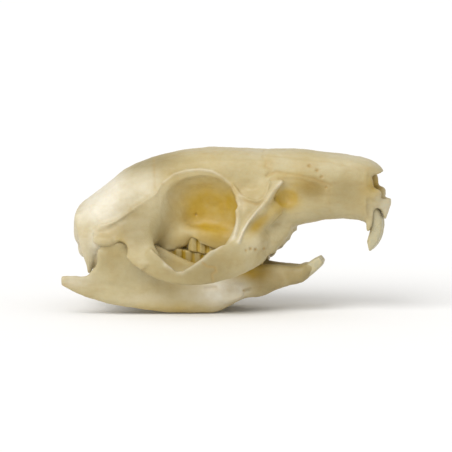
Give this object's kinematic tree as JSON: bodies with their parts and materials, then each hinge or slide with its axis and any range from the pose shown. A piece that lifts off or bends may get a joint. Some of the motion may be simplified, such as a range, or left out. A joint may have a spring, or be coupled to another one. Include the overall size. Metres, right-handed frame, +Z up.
{
  "type": "guinea pig skull",
  "caption": "Life-size skull of an adult guinea pig with its lower jaw set under it, a still study model with separate cheekbones, nose bones, ear capsules, jaw halves and teeth.",
  "frame": {"origin": "middle of the bounding box on the ground that the lower jaw rests on", "axes": "+X towards the snout, +Y towards the animal's left, +Z up"},
  "size_m": [0.064, 0.0338, 0.0326],
  "materials": {
    "bone": "dry, faintly waxy bone, ivory with amber in the hollows",
    "teeth": "smooth pale enamel"
  },
  "bodies": {
    "root": {"braincase": "bone", "rostrum": "bone", "nasal_bones": "bone", "jugal_right": "bone", "jugal_left": "bone", "bulla_right": "bone", "bulla_left": "bone", "mandible_right": "bone", "mandible_left": "bone", "upper_incisor_right": "teeth", "upper_incisor_left": "teeth", "lower_incisor_right": "teeth", "lower_incisor_left": "teeth", "upper_cheek_teeth_right": "teeth", "upper_cheek_teeth_left": "teeth", "lower_cheek_teeth_right": "teeth", "lower_cheek_teeth_left": "teeth"}
  },
  "joints": []
}
